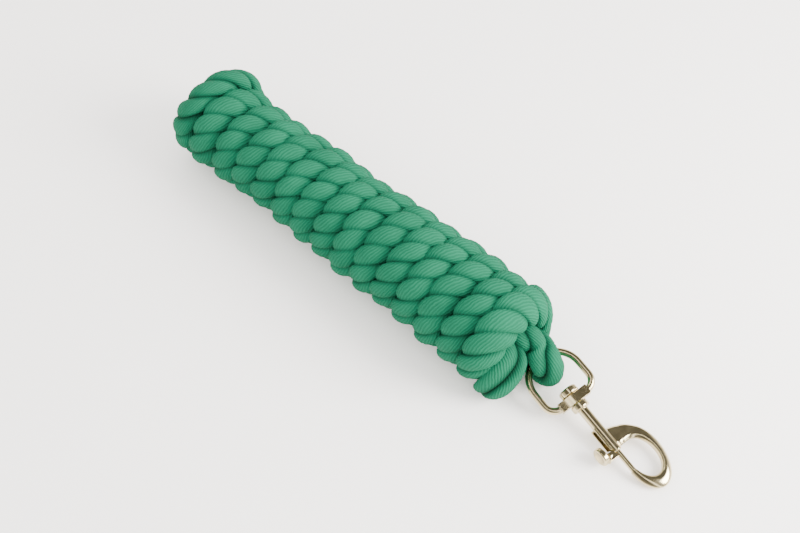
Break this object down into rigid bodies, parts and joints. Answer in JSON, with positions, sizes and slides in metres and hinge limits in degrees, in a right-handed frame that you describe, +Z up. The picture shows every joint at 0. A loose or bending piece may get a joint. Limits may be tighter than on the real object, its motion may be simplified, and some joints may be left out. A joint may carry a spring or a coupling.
{
  "type": "lead rope",
  "caption": "Soft laid lead rope wound into a tight hank, with an eye spliced round the ring of a swivel bolt snap.",
  "frame": {"origin": "on the flat underside of the hank, near the middle of its windings", "axes": "+X along the hank towards the snap, +Z up from the surface that the hank lies on"},
  "size_m": [0.4482, 0.077, 0.074],
  "materials": {
    "rope": "soft spun three-strand rope with a slight sheen",
    "whipping": "wound thread",
    "snap_metal": "polished, pale nickel gold",
    "spring_steel": "drawn wire"
  },
  "bodies": {
    "hank": {"rope_hank": "rope", "rope_eye": "rope", "tail_whipping": "whipping"},
    "ring": {"swivel_eye": "snap_metal"},
    "snap": {"snap_body": "snap_metal", "swivel_pin": "snap_metal", "bolt_spring": "spring_steel"},
    "bolt": {"bolt": "snap_metal", "thumb_knob": "snap_metal"}
  },
  "joints": [
    {"name": "ring_tilt", "type": "hinge", "parent": "hank", "child": "ring", "pos_m": [0.157, 0.0104, 0.0192], "axis": [0.2084, 0.9561, 0.2059], "range_deg": [-62, 78]},
    {"name": "swivel", "type": "hinge", "parent": "ring", "child": "snap", "pos_m": [0.19292, 0.00368, 0.01406], "axis": [0.9734, -0.1822, -0.1392], "continuous": true},
    {"name": "bolt_slide", "type": "slide", "parent": "snap", "child": "bolt", "axis": [-0.9734, 0.1822, 0.1392], "range_m": [0, 0.0135], "stiffness_N_per_m": 400, "springref_m": -0.01, "deforming": ["bolt_spring"]}
  ]
}
